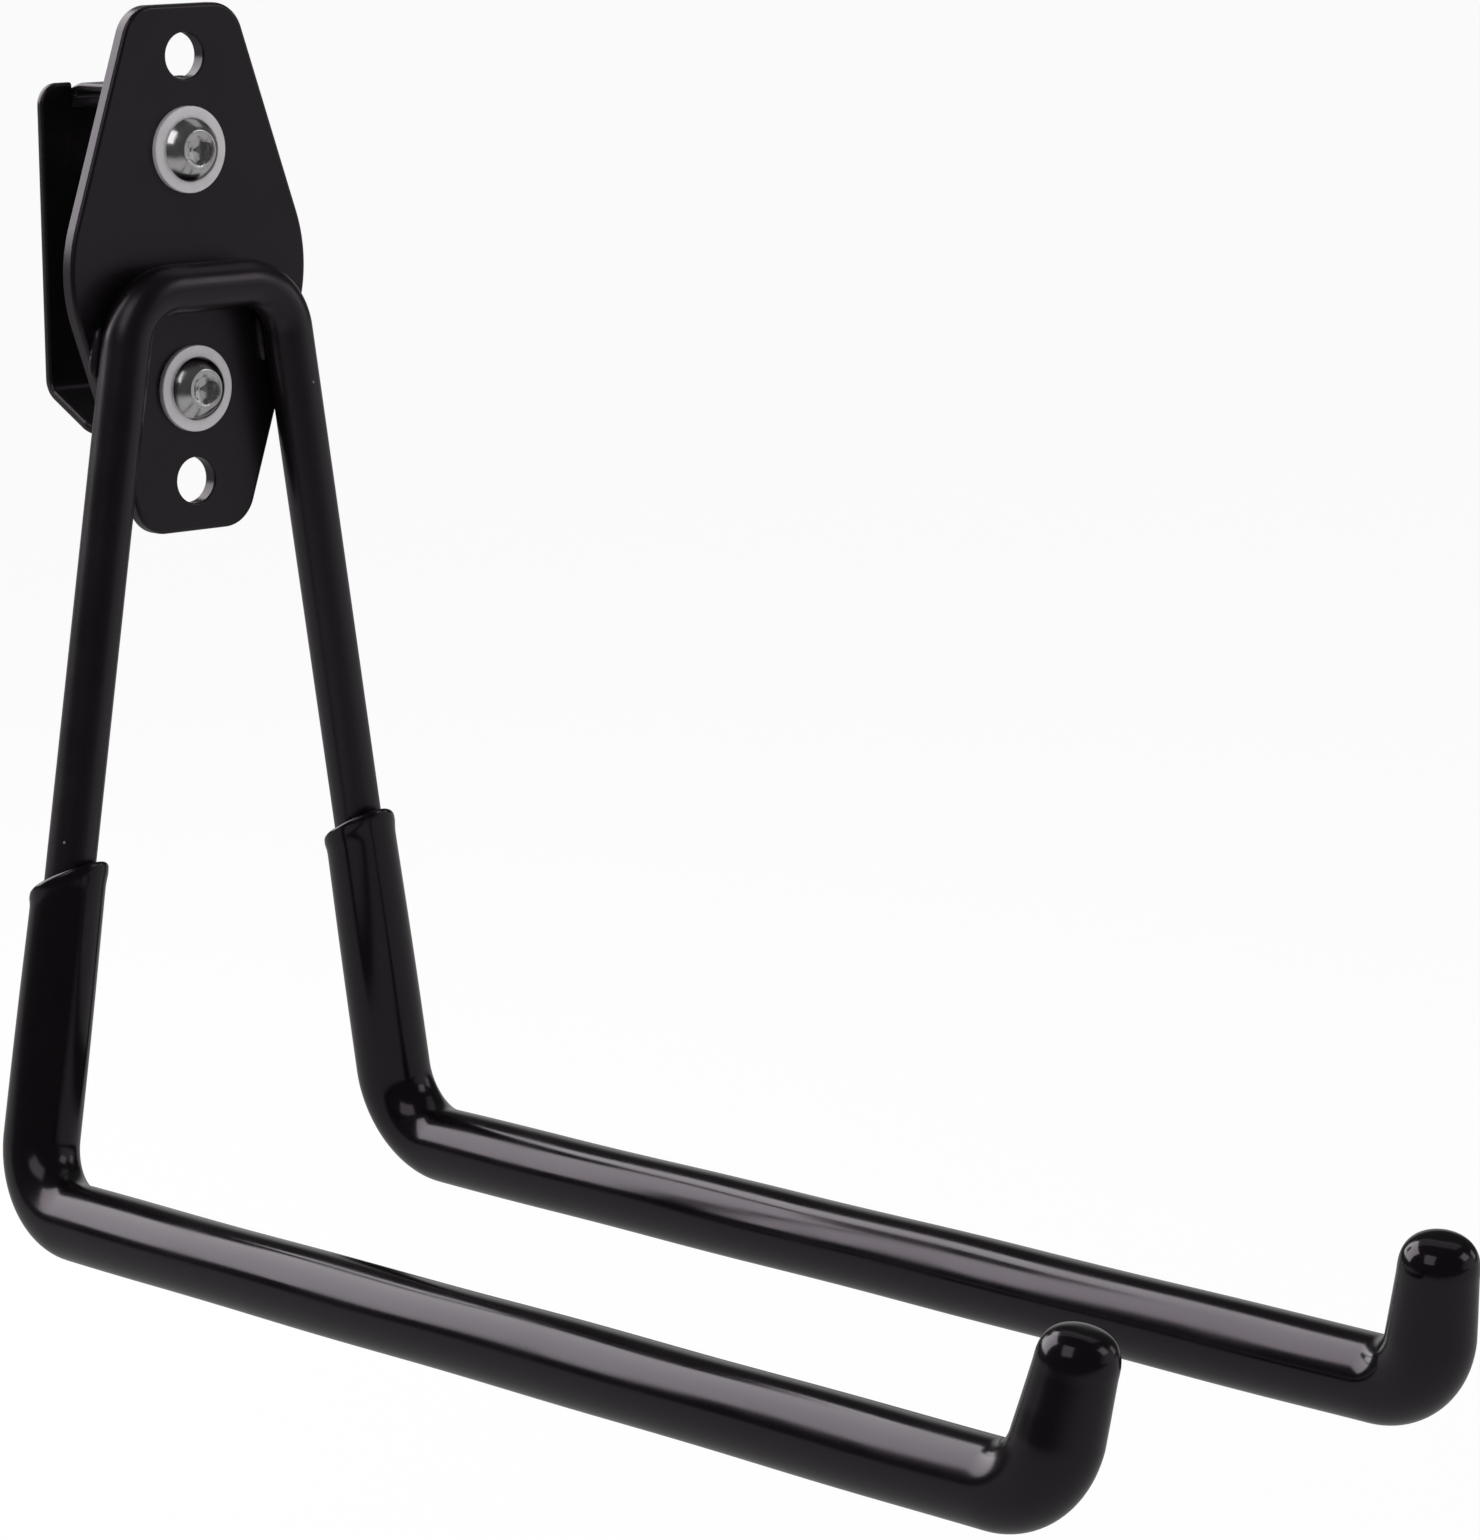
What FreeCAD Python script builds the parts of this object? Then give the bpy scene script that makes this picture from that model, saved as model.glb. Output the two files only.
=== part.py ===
import FreeCAD, Part
import math
import os

# Garage utility hook: a flat steel mounting plate with two wall holes, one bent round rod welded on
# its front as two legs, two arms and two upturned tips, a dipped coating on each arm, and a folded
# rail clip behind the plate held by two button-head screws.
# Millimetres. X to the right along the wall, arms towards -Y, wall towards +Y, Z up.
# The origin is on the plate's rear face, midway between the two wall holes.

V = FreeCAD.Vector

# Mounting plate
plate_height = 85.0
plate_width = 47.0
plate_end_width = 20.8
plate_thickness = 2.5
plate_end_radius = 6.0
plate_side_radius = 25.0
plate_edge_round = 0.7
wall_hole_diameter = 7.5
wall_hole_from_end = 8.25

# Bent rod
rod_diameter = 8.0
run_drop = 2.5
run_length = 30.0
run_bend_radius = 9.5
leg_drop = 146.4
leg_splay_deg = 9.0
leg_lean_deg = 0.95
arm_bend_radius = 12.0
arm_length = 230.0
tip_bend_radius = 11.0
tip_lean_out_deg = 13.4
tip_lean_in_deg = 6.5
tip_length = 21.7
rod_end_chamfer = 0.8

# Dipped coating
coat_rim_thickness = 1.8
coat_bend_thickness = 2.2
coat_arm_thickness = 2.5
coat_tip_thickness = 1.9
coat_dome_cover = 3.0
coat_left_rim_height = 53.5
coat_right_rim_height = 54.5
coat_rim_slope_deg = 24.0
coat_rim_round = 0.7

# Weld beads between the legs and the plate
weld_bead_radius = 1.4
weld_bead_length = 5.4
weld_bead_taper = 1.6
weld_bead_drop = 9.5
weld_bead_side = 3.5
weld_bead_stand = 0.4

# Screws and washers
screw_spacing = 38.5
screw_diameter = 6.0
screw_clearance = 0.3
screw_tail = 1.5
screw_end_chamfer = 0.6
screw_head_diameter = 10.5
screw_head_height = 3.3
screw_head_rim = 0.5
screw_crown_diameter = 6.4
socket_across_flats = 4.0
socket_depth = 2.0
washer_diameter = 14.0
washer_thickness = 1.0
washer_edge_chamfer = 0.2

# Rail clip, folded from one sheet, with a tapped collar raised behind each screw hole
clip_thickness = 1.6
clip_web_width = 20.0
clip_web_below = 24.0
clip_web_corner = 3.0
clip_top = 29.9
clip_top_bend = 3.4
clip_depth = 16.3
clip_leg_width = 32.0
clip_leg_below = 19.5
clip_leg_corner = 3.5
clip_relief_width = 0.3
clip_relief_past_bend = 2.0
clip_toe_bend = 3.0
clip_toe_angle_deg = 28.0
clip_toe_gap = 1.5
collar_diameter = 9.0
collar_height = 1.4

# Sizes worked out from the driving dimensions
rod_radius = rod_diameter / 2
plate_front = -plate_thickness
head_seat = plate_front - washer_thickness
wall_hole_spacing = plate_height - 2 * wall_hole_from_end
collar_back = clip_thickness + collar_height
screw_hole_diameter = screw_diameter + 2 * screw_clearance
shank_length = collar_back + screw_tail - head_seat
leg_slope = math.tan(math.radians(leg_splay_deg))
leg_lean = math.tan(math.radians(leg_lean_deg))
run_half = run_length / 2
run_z = -run_drop
corner_z = run_z - leg_drop
corner_x = run_half + leg_drop * leg_slope


def plate_sharp_half():
    """Half width at the unrounded side corner whose rounding leaves half the plate's width."""
    half = plate_width / 2
    for _ in range(20):
        turn = math.atan((half - plate_end_width / 2) / (plate_height / 2))
        half = plate_width / 2 + plate_side_radius * (1 / math.cos(turn) - 1)
    return half


def leg_x(z):
    """Distance of a leg's centre line from the middle plane at height z."""
    return run_half + (run_z - z) * leg_slope


def leg_y(z):
    """Y of the legs' centre lines at height z: they lean back and meet the plate at its sides."""
    side_slope = (plate_sharp_half() - plate_end_width / 2) / (plate_height / 2)
    touch_z = (leg_x(0) - plate_sharp_half()) / (side_slope + leg_slope)
    return plate_front - rod_radius + (touch_z - z) * leg_lean


def route(points, bends):
    """Straight runs along the points, and the tangent arcs that join them at the inner points."""
    runs, arcs = [], []
    start = points[0]
    for before, corner, after, bend in zip(points, points[1:], points[2:], bends):
        way_in = (corner - before).normalize()
        way_out = (after - corner).normalize()
        turn = way_in.getAngle(way_out)
        reach = bend * math.tan(turn / 2)
        axis = way_in.cross(way_out).normalize()
        arc_start = corner - way_in * reach
        centre = arc_start + axis.cross(way_in) * bend
        runs.append((start, arc_start))
        arcs.append((arc_start, way_in, centre, axis, math.degrees(turn)))
        start = corner + way_out * reach
    runs.append((start, points[-1]))
    return runs, arcs


def round_bar(points, bends, radii):
    """Solid round bar along the route, with one radius at each point and a straight taper between."""
    bars = []
    runs, arcs = route(points, bends)
    for (start, end), first, last in zip(runs, radii, radii[1:]):
        way = end - start
        if first == last:
            bars.append(Part.makeCylinder(first, way.Length, start, way))
        else:
            bars.append(Part.makeCone(first, last, way.Length, start, way))
    for (start, way, centre, axis, turn), radius in zip(arcs, radii[1:]):
        disc = Part.Face(Part.Wire(Part.Circle(start, way, radius).toShape()))
        bars.append(disc.revolve(centre, axis, turn))
    return bars[0].fuse(bars[1:]).removeSplitter()


def rounded_outline(corners, radii):
    """Closed wire through the corners, each rounded by its own radius."""
    arcs = []
    for index, corner in enumerate(corners):
        before, after = corners[index - 1], corners[(index + 1) % len(corners)]
        way_in = (corner - before).normalize()
        way_out = (after - corner).normalize()
        half_turn = way_in.getAngle(way_out) / 2
        reach = radii[index] * math.tan(half_turn)
        bulge = radii[index] * (1 / math.cos(half_turn) - 1)
        inward = (way_out - way_in).normalize()
        arcs.append((corner - way_in * reach, corner + inward * bulge, corner + way_out * reach))
    edges = []
    for index, (first, middle, last) in enumerate(arcs):
        edges.append(Part.Arc(first, middle, last).toShape())
        edges.append(Part.makeLine(last, arcs[(index + 1) % len(arcs)][0]))
    return Part.Wire(edges)


def sheet_section(base, way, width, thickness):
    """Rectangle across the way, centred on base, with its width along X."""
    across = V(width / 2, 0, 0)
    side = V(1, 0, 0).cross(way) * (thickness / 2)
    corners = [base - across - side, base + across - side, base + across + side, base - across + side]
    return Part.Face(Part.makePolygon(corners + corners[:1]))


def folded_sheet(points, bends, width, thickness):
    """Sheet strip of one width, folded along a route in the YZ plane through its middle line."""
    strips = []
    runs, arcs = route(points, bends)
    for start, end in runs:
        way = (end - start).normalize()
        strips.append(sheet_section(start, way, width, thickness).extrude(end - start))
    for start, way, centre, axis, turn in arcs:
        strips.append(sheet_section(start, way, width, thickness).revolve(centre, axis, turn))
    return strips[0].fuse(strips[1:]).removeSplitter()


def bore(diameter, z, front, back):
    """Round cutter along Y at height z, a little longer than from front to back."""
    spare = screw_end_chamfer
    return Part.makeCylinder(diameter / 2, back - front + 2 * spare, V(0, front - spare, z), V(0, 1, 0))


def mounting_plate():
    """Stamped plate: its front edge is rounded by the die, its rear edge is left square."""
    half_height = plate_height / 2
    end_half = plate_end_width / 2
    sharp_half = plate_sharp_half()
    corners = [V(-end_half, 0, half_height), V(end_half, 0, half_height), V(sharp_half, 0, 0),
               V(end_half, 0, -half_height), V(-end_half, 0, -half_height), V(-sharp_half, 0, 0)]
    outline = rounded_outline(corners, [plate_end_radius, plate_end_radius, plate_side_radius] * 2)
    plate = Part.Face(outline).extrude(V(0, plate_front, 0))
    front_rim = [edge for edge in plate.Edges if edge.BoundBox.YMax < plate_front / 2]
    plate = plate.makeFillet(plate_edge_round, front_rim)
    for side in (1, -1):
        plate = plate.cut(bore(wall_hole_diameter, side * wall_hole_spacing / 2, plate_front, 0))
        plate = plate.cut(bore(screw_hole_diameter, side * screw_spacing / 2, plate_front, 0))
    return plate


def side_points(side):
    """Corner points of the rod's centre line on one side, from the top run to the tip's end."""
    top = V(side * run_half, leg_y(run_z), run_z)
    low = V(side * corner_x, leg_y(corner_z), corner_z)
    front = low + V(0, -arm_length, 0)
    lean_in = math.tan(math.radians(tip_lean_in_deg))
    lean_out = math.tan(math.radians(tip_lean_out_deg))
    rise = V(-side * lean_in, -lean_out, 1).normalize()
    return top, low, front, front + rise * tip_length


def bent_rod():
    """Rod in one piece: tip, arm, leg, top run, leg, arm and tip."""
    left, right = side_points(-1), side_points(1)
    points = list(reversed(left)) + list(right)
    bends = [tip_bend_radius, arm_bend_radius, run_bend_radius]
    rod = round_bar(points, bends + bends[::-1], [rod_radius] * len(points))
    ends = [edge for edge in rod.Edges for tip in (left[-1], right[-1])
            if (edge.BoundBox.Center - tip).Length < rod_end_chamfer]
    return rod.makeChamfer(rod_end_chamfer, ends)


def coating(side, rim_height, rod):
    """Dipped skin on one side: its rim slopes down to the wall, and a dome covers the rod's end."""
    top, low, front, tip = side_points(side)
    tip_radius = rod_radius + coat_tip_thickness
    dome = tip - (tip - front).normalize() * (tip_radius - coat_dome_cover)
    leg_way = (top - low).normalize()
    rim = low + leg_way * (rim_height / leg_way.z)
    thicknesses = [coat_rim_thickness, coat_bend_thickness, coat_arm_thickness, coat_tip_thickness]
    radii = [rod_radius + thickness for thickness in thicknesses]
    spare = 2 * radii[0]
    skin = round_bar([rim + leg_way * spare, low, front, dome], [arm_bend_radius, tip_bend_radius], radii)
    skin = skin.fuse(Part.makeSphere(tip_radius, dome)).removeSplitter()
    above = Part.makeBox(4 * spare, 4 * spare, 2 * spare, rim - V(2 * spare, 2 * spare, 0))
    above.rotate(rim, V(1, 0, 0), -coat_rim_slope_deg)
    skin = skin.cut(above)
    rims = [edge for edge in skin.Edges if (edge.BoundBox.Center - rim).Length < coat_rim_thickness]
    return skin.makeFillet(coat_rim_round, rims).cut(rod)


def weld_bead(outward, rod, plate):
    """Short bead with tapered ends in the corner between the left leg and the plate, beside the leg."""
    z = run_z - weld_bead_drop
    top, low = side_points(-1)[:2]
    way = (low - top).normalize()
    half_way = way * (weld_bead_length / 2)
    middle = V(-leg_x(z) - outward * weld_bead_side, plate_front - weld_bead_stand, z)
    bead = Part.makeCylinder(weld_bead_radius, weld_bead_length, middle - half_way, way)
    for end in (1, -1):
        bead = bead.fuse(Part.makeCone(weld_bead_radius, weld_bead_radius / 2, weld_bead_taper,
                                       middle + half_way * end, way * end))
    return bead.removeSplitter().cut(rod).cut(plate)


def socket_face(y, z):
    """Hexagonal face across the Y axis at height z, with a corner pointing up."""
    corner = socket_across_flats / 2 / math.cos(math.pi / 6)
    points = [V(corner * math.sin(turn * math.pi / 3), y, z + corner * math.cos(turn * math.pi / 3))
              for turn in range(6)]
    return Part.Face(Part.makePolygon(points + points[:1]))


def dome_middle(start, crown):
    """Point halfway along the arc from start to crown whose centre lies on the screw's axis."""
    height = (start.x**2 + start.z**2 - crown.x**2 - crown.z**2) / (2 * (start.z - crown.z))
    centre = V(0, 0, height)
    return centre + (start + crown - centre * 2).normalize() * (start - centre).Length


def button_screw(z):
    """Button-head screw with a domed head, a flat crown, a hexagon socket and a plain shank."""
    head_radius = screw_head_diameter / 2
    shank_radius = screw_diameter / 2
    start = V(head_radius, 0, screw_head_rim)
    crown = V(screw_crown_diameter / 2, 0, screw_head_height)
    middle_top = V(0, 0, screw_head_height)
    corners = [middle_top, V(0, 0, -shank_length), V(shank_radius - screw_end_chamfer, 0, -shank_length),
               V(shank_radius, 0, screw_end_chamfer - shank_length), V(shank_radius, 0, 0),
               V(head_radius, 0, 0), start]
    edges = [Part.makeLine(first, last) for first, last in zip(corners, corners[1:])]
    edges.append(Part.Arc(start, dome_middle(start, crown), crown).toShape())
    edges.append(Part.makeLine(crown, middle_top))
    screw = Part.Face(Part.Wire(edges)).revolve(V(0, 0, 0), V(0, 0, 1), 360)
    screw.rotate(V(0, 0, 0), V(1, 0, 0), 90)
    screw.translate(V(0, head_seat, z))
    mouth = head_seat - screw_head_height
    socket = socket_face(mouth, z).extrude(V(0, socket_depth, 0))
    return screw.cut(socket)


def washer(z):
    disc = Part.makeCylinder(washer_diameter / 2, washer_thickness, V(0, plate_front, z), V(0, -1, 0))
    front_rim = [edge for edge in disc.Edges if abs(edge.BoundBox.Center.y - head_seat) < 1e-6]
    disc = disc.makeChamfer(washer_edge_chamfer, front_rim)
    return disc.cut(bore(screw_hole_diameter, z, head_seat, plate_front))


def clip_leg(back):
    """Wide rear leg of the clip with its toe angled forward, relieved beside the neck's bend."""
    toe = math.radians(clip_toe_angle_deg)
    toe_way = V(0, -math.cos(toe), -math.sin(toe))
    toe_end = clip_thickness + clip_toe_gap + math.sin(toe) * clip_thickness / 2
    knee = V(0, back, -clip_leg_below)
    points = [V(0, back, clip_top), knee, knee + toe_way * ((back - toe_end) / math.cos(toe))]
    leg = folded_sheet(points, [clip_toe_bend], clip_leg_width, clip_thickness)
    relief_half = clip_web_width / 2 + clip_relief_width
    relief_drop = clip_top_bend + clip_relief_past_bend
    return leg.cut(Part.makeBox(2 * relief_half, 2 * clip_thickness, 2 * relief_drop,
                                V(-relief_half, back - clip_thickness, clip_top - relief_drop)))


def rail_clip():
    """Folded clip: web on the plate, neck over the top, wide rear leg and a toe angled forward."""
    half = clip_thickness / 2
    back = clip_depth - half
    top = clip_top - half
    neck_end = clip_top - clip_top_bend - 2 * clip_relief_past_bend
    points = [V(0, half, -clip_web_below), V(0, half, top), V(0, back, top), V(0, back, neck_end)]
    clip = folded_sheet(points, [clip_top_bend, clip_top_bend], clip_web_width, clip_thickness)
    clip = clip.fuse(clip_leg(back)).removeSplitter()
    shoulders = [edge for edge in clip.Edges
                 if abs(edge.BoundBox.Center.x) > clip_leg_width / 2 - 1e-6
                 and edge.BoundBox.ZMin > clip_top - 1e-6]
    shoulder_width = (clip_leg_width - clip_web_width) / 2 - clip_relief_width
    clip = clip.makeFillet(min(clip_leg_corner, shoulder_width - clip_relief_width), shoulders)
    web_ends = [edge for edge in clip.Edges
                if abs(edge.BoundBox.Center.x) > clip_web_width / 2 - 1e-6
                and edge.BoundBox.ZMax < 1e-6 - clip_web_below and edge.BoundBox.YMax < back / 2]
    clip = clip.makeFillet(clip_web_corner, web_ends)
    for z in (screw_spacing / 2, -screw_spacing / 2):
        clip = clip.fuse(Part.makeCylinder(collar_diameter / 2, collar_back, V(0, 0, z), V(0, 1, 0)))
        clip = clip.removeSplitter().cut(bore(screw_diameter, z, 0, collar_back))
    return clip


plate = mounting_plate()
rod = bent_rod()
nodes = {"mounting_plate": plate, "bent_rod": rod, "rail_clip": rail_clip()}
for side, name, rim_height in ((-1, "left", coat_left_rim_height), (1, "right", coat_right_rim_height)):
    nodes["arm_coating_" + name] = coating(side, rim_height, rod)
for outward, place in ((1, "outer"), (-1, "inner")):
    bead = weld_bead(outward, rod, plate)
    nodes["weld_bead_left_" + place] = bead
    nodes["weld_bead_right_" + place] = bead.mirror(V(0, 0, 0), V(1, 0, 0))
for side, name in ((1, "upper"), (-1, "lower")):
    nodes["screw_" + name] = button_screw(side * screw_spacing / 2)
    nodes["washer_" + name] = washer(side * screw_spacing / 2)

os.makedirs("parts", exist_ok=True)
for name, shape in nodes.items():
    shape.exportStep("parts/" + name + ".step")
    box = shape.BoundBox
    print(name, len(shape.Solids), shape.isValid(), round(shape.Volume, 1),
          [round(value, 2) for value in (box.XMin, box.XMax, box.YMin, box.YMax, box.ZMin, box.ZMax)])
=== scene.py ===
"""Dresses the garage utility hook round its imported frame.

A powder-coated plate, bent rod and rail clip, two dip-coated arms, weld beads, screws and washers.
Every shape is a formula on a numpy grid, in metres, in the part's own frame: X to the right along the
wall, arms towards -Y, Z up, with the origin on the plate's rear face midway between the wall holes.
"""

import math
from collections import namedtuple

import bmesh
import bpy
import numpy as np
from bpy.props import FloatProperty, FloatVectorProperty
from bpy.types import Operator, Panel, PropertyGroup
from mathutils import Matrix, Vector
from mathutils.geometry import tessellate_polygon


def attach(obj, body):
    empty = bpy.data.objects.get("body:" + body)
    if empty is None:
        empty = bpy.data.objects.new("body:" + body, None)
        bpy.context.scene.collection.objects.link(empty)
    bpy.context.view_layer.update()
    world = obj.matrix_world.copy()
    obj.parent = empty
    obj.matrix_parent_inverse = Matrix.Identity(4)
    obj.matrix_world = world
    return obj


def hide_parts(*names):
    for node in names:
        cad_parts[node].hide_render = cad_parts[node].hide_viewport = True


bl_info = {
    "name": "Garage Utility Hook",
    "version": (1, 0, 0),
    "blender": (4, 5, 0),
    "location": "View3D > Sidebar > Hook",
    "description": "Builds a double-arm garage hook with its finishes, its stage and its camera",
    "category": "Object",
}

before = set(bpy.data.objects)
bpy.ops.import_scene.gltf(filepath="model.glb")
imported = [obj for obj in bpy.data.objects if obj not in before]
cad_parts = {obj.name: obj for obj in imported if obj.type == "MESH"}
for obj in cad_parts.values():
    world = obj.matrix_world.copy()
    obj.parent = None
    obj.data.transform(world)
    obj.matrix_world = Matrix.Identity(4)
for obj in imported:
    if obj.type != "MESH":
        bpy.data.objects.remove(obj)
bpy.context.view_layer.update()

MM = 0.001
BODY = "root"
SIDES = ((-1, "left"), (1, "right"))
LEVELS = ((1, "upper"), (-1, "lower"))

# How finely the surfaces are divided
ROD_AROUND = 72
COAT_AROUND = 96
ROUND_AROUND = 96
BEAD_AROUND = 48
RING_GAP = 0.6 * MM
ARC_STATIONS = 61
DOME_RINGS = 26
BEAD_RINGS = 80
CORNER_RINGS = 8
THREAD_RINGS = 10

# Way that no path starts along, and rounds in which the plate's side corner settles
SEED_WAY = (1.0, 0.3, 0.2)
SETTLING_ROUNDS = 20

# Dipped surface: its two waves, the reach of the rims' slope, and the gap to the rod
SHORT_WAVE = 9.0 * MM
LONG_WAVE = 23.0 * MM
RIM_REACH = 24.0 * MM
BORE_GAP = 0.02 * MM

# In rim roundings: where the waves are whole, and the rim bead's middle and spread
WAVE_START = 4.0
BEAD_MIDDLE = 1.5
BEAD_SPREAD = 1.2

# How far the weld beads' ripples bow
RIPPLE_BOW = 0.5

# Screw's socket: stations over its dished floor, up its flats and over its bevel, and the dish's depths
DISH_PARTS = np.linspace(0.15, 1, 6)
FLAT_PARTS = np.linspace(0.1, 1, 5)
MOUTH_PARTS = np.linspace(0.25, 1, 4)
SOCKET_DISH = 0.35 * MM
SOCKET_POINT = 0.45 * MM

# Screw's small edges: crown, shoulder as a share of the dome, foot, neck, thread's start and end
CROWN_EDGE = 0.12 * MM
SHOULDER = 0.05
FOOT_TAPER = 0.02 * MM
FOOT_HEIGHT = 0.1 * MM
FOOT_EDGE = 0.12 * MM
NECK = 0.2 * MM
THREAD_START = 0.5 * MM
THREAD_SLOPE = 1.25
THREAD_LAND = 0.1
TIP_WAVE = 0.6
END_INSET = 0.3 * MM

# Rail clip: an edge that turns more is rounded, and a closed relief is this wide
CLIP_CREASE = math.radians(40)
CLIP_SLACK = 0.01 * MM

# Dust specks on the legs, in millimetres, and the part of a speck that is whole
DUST = ((-32.2, -7.5, -89.1), (18.3, -10.5, -19.2))
DUST_RADIUS = 0.26 * MM
DUST_CORE = 0.6
DUST_TONE = (0.2, 0.19, 0.19)

# Pits in the vinyl: the part that is whole, and where the slow noise starts to pick them
PIT_CORE = 0.8
PIT_PICK = (0.62, 0.63)

# Photograph's camera: height of the picture and focal length in its pixels, place in millimetres
PHOTO_HEIGHT = 1540
FOCAL_PIXELS = 6243.0
CAMERA_PLACE = (-607.68, -809.12, 87.60)
CAMERA_BACK = (-0.6592, -0.7331, 0.1673)
CAMERA_LEVEL = (*CAMERA_BACK[:2], 0.0)
CAMERA_AZIMUTH = math.radians(-41.961)
CAMERA_ROLL = math.radians(-0.7839)

# Lamps: name, azimuth, elevation, distance, width and height in metres, and share of the brightness
HOOK_MIDDLE = Vector((0.0, -0.12, -0.08))
LAMPS = (
    ("softbox", 107.0, 33.0, 1.3, 1.25, 1.12, 1.0),
    ("top_light", 35.0, 62.0, 1.3, 1.5, 0.55, 0.08),
    ("left_window", -163.0, 42.0, 1.6, 0.80, 1.10, 0.5),
    ("front_window", -46.0, 30.0, 1.6, 0.60, 0.55, 0.62),
    ("right_window", -14.0, 13.0, 1.6, 0.36, 0.46, 0.4),
)

# Glows on the dark walls: azimuth, elevation, inner and outer half angle in degrees, and brightness
SURROUND_RADIUS = 12.0
GLOWS = (
    (46.0, 4.0, 6.0, 24.0, 0.5),
    (-42.0, -2.0, 10.0, 36.0, 0.4),
)

# White, and the share of it in the floor's look, which leaves the rest to light and shadow
WHITE = (1.0, 1.0, 1.0, 1.0)
FLOOR_WHITE = 0.92

Path = namedtuple("Path", "points bases lengths marks")


def size(label, about, millimetres):
    """Length property whose default is given in millimetres."""
    return FloatProperty(name=label, description=about, default=millimetres * MM, unit="LENGTH", precision=5)


def turn(label, about, degrees):
    """Angle property whose default is given in degrees."""
    return FloatProperty(name=label, description=about, default=math.radians(degrees), subtype="ANGLE")


def amount(label, about, value):
    """Plain number property."""
    return FloatProperty(name=label, description=about, default=value, min=0.0, precision=3)


def colour(label, about, red, green, blue):
    """Colour property, in linear light."""
    return FloatVectorProperty(name=label, description=about, default=(red, green, blue), subtype="COLOR",
                               min=0.0, max=1.0, size=3)


class HookPlateSettings(PropertyGroup):
    """Sizes of the mounting plate."""
    height: size("Height", "Height of the plate", 85.0)
    width: size("Width", "Width at the side corners", 47.0)
    end_width: size("End width", "Width at the sharp end corners", 20.8)
    thickness: size("Thickness", "Sheet thickness", 2.5)
    end_radius: size("End radius", "Rounding of the four end corners", 6.0)
    side_radius: size("Side radius", "Rounding of the two side corners", 25.0)
    edge_round: size("Front edge", "Rounding that the die leaves on the front rim", 0.7)
    back_round: size("Back edge", "Paint rounding on the rear rim", 0.15)
    hole_round: size("Hole edge", "Paint rounding on the holes' rims", 0.3)
    hole_diameter: size("Wall hole", "Diameter of the two wall holes", 7.5)
    hole_from_end: size("Hole inset", "From the plate's end to a wall hole's middle", 8.25)


class HookRodSettings(PropertyGroup):
    """Sizes of the bent rod."""
    diameter: size("Diameter", "Diameter of the bare rod", 8.0)
    run_drop: size("Run drop", "Top run's middle below the origin", 2.5)
    run_length: size("Run length", "Top run between its sharp corners", 30.0)
    run_bend: size("Run bend", "Bend radius at the top run's ends", 9.5)
    leg_drop: size("Leg drop", "Height from the arms to the top run", 146.4)
    leg_splay: turn("Leg splay", "Sideways slope of the legs", 9.0)
    leg_lean: turn("Leg lean", "Backward lean of the legs", 0.95)
    arm_bend: size("Arm bend", "Bend radius between leg and arm", 12.0)
    arm_length: size("Arm length", "Arm between its sharp corners", 230.0)
    tip_bend: size("Tip bend", "Bend radius between arm and tip", 11.0)
    tip_lean_out: turn("Tip lean out", "Forward lean of the tips", 13.4)
    tip_lean_in: turn("Tip lean in", "Inward lean of the tips", 6.5)
    tip_length: size("Tip length", "Tip from its sharp corner to the rod's end", 21.7)
    end_chamfer: size("End chamfer", "Chamfer on the rod's two ends", 0.8)


class HookCoatingSettings(PropertyGroup):
    """Sizes of the dipped coating."""
    rim_thickness: size("Rim thickness", "Coating on the leg above the rim's height", 1.8)
    bend_thickness: size("Bend thickness", "Coating at the lower bend", 2.2)
    arm_thickness: size("Arm thickness", "Coating at the arm's front end", 2.5)
    tip_thickness: size("Tip thickness", "Coating round the upturned tip", 1.9)
    dome_cover: size("Dome cover", "Coating over the rod's end", 3.0)
    left_rim: size("Left rim height", "Left rim above the arm's middle", 53.5)
    right_rim: size("Right rim height", "Right rim above the arm's middle", 54.5)
    rim_slope: turn("Rim slope", "Slope of the rims down to the wall", 30.0)
    rim_round: size("Rim rounding", "Rounding of the rims' outer edge", 0.9)
    rim_bead: size("Rim bead", "Height of the soft bead that the dip leaves at the rims", 0.2)
    rim_sag: size("Rim sag", "How far the rim's line strays from a plane", 0.2)
    dome_square: amount("Dome squareness", "Power of the dome's section: 2 is a circle, more is flatter", 2.7)
    waviness: size("Waviness", "Slow rise and fall of the dipped surface", 0.05)


class HookBeadSettings(PropertyGroup):
    """Sizes of the weld beads."""
    radius: size("Radius", "Radius of a bead", 1.1)
    length: size("Length", "Length of a bead with both its tapers", 8.0)
    drop: size("Drop", "Bead's middle below the top run", 9.5)
    side: size("Side", "Bead's middle beside the leg's middle", 2.9)
    stand: size("Stand", "Bead's middle in front of the plate", 0.3)
    ripple: size("Ripple", "Height of the ripples", 0.02)
    ripple_gap: size("Ripple gap", "Distance from ripple to ripple", 1.2)


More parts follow.
